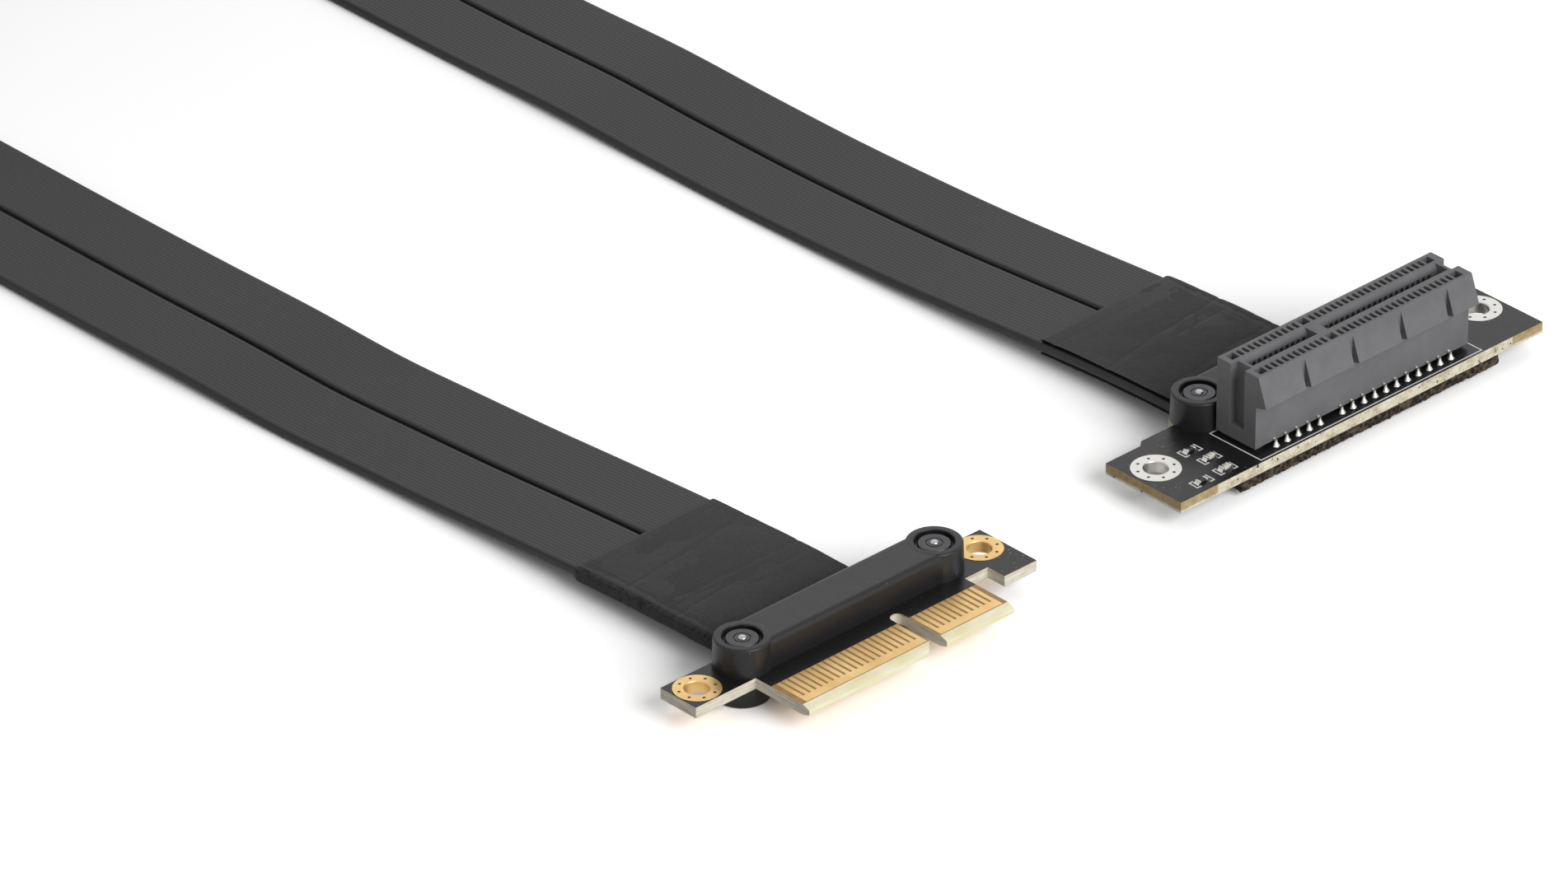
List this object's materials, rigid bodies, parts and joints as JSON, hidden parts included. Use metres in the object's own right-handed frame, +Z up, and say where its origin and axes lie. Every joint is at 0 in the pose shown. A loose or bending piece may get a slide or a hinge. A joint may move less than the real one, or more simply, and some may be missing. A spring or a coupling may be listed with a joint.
{
  "type": "flat riser cable",
  "caption": "Flat riser cable: a card-edge board and a card-slot board, each in a riveted clamp, joined by flat ribbons side by side.",
  "frame": {"origin": "on the surface that the part lies on, under the middle of the two ends, the cable and its tape left out", "axes": "+X the way both ends point, away from the cable; +Y along the boards, from the card edge to the slot; +Z up"},
  "size_m": [0.2938, 0.144, 0.0241],
  "materials": {
    "board_mask": "black solder mask, satin, over pale glass fibre",
    "gold_plating": "gold plating",
    "tin_plating": "tinned copper",
    "clamp_plastic": "moulded black plastic, satin top",
    "rivet_metal": "blackened metal with a bright dome",
    "copper": "bare copper",
    "ribbon_jacket": "satin black jacket with fine lengthwise lines",
    "cloth_tape": "matte black woven tape",
    "housing_plastic": "matte dark grey moulded plastic",
    "foam": "dark porous foam",
    "chip_body": "chip body with tinned ends",
    "lamp_body": "clear and white lamp body"
  },
  "bodies": {
    "root": {"edge_board": "board_mask", "edge_long_fingers_top": "gold_plating", "edge_short_fingers_top": "gold_plating", "edge_long_fingers_under": "gold_plating", "edge_short_fingers_under": "gold_plating", "edge_left_ring": "gold_plating", "edge_right_ring": "gold_plating", "edge_upper_clamp_shell": "clamp_plastic", "edge_lower_clamp_shell": "clamp_plastic", "edge_left_rivet": "rivet_metal", "edge_right_rivet": "rivet_metal", "edge_upper_wires": "copper", "edge_lower_wires": "copper", "edge_tape": "cloth_tape", "slot_board": "board_mask", "slot_housing": "housing_plastic", "slot_left_ring": "tin_plating", "slot_right_ring": "tin_plating", "slot_upper_resistor": "chip_body", "slot_lower_resistor": "chip_body", "slot_upper_lamp": "lamp_body", "slot_lower_lamp": "lamp_body", "slot_foam_strip": "foam", "slot_upper_clamp_shell": "clamp_plastic", "slot_lower_clamp_shell": "clamp_plastic", "slot_left_rivet": "rivet_metal", "slot_right_rivet": "rivet_metal", "slot_upper_wires": "copper", "slot_lower_wires": "copper", "slot_tape": "cloth_tape", "outer_ribbon": "ribbon_jacket", "inner_ribbon": "ribbon_jacket"}
  },
  "joints": []
}
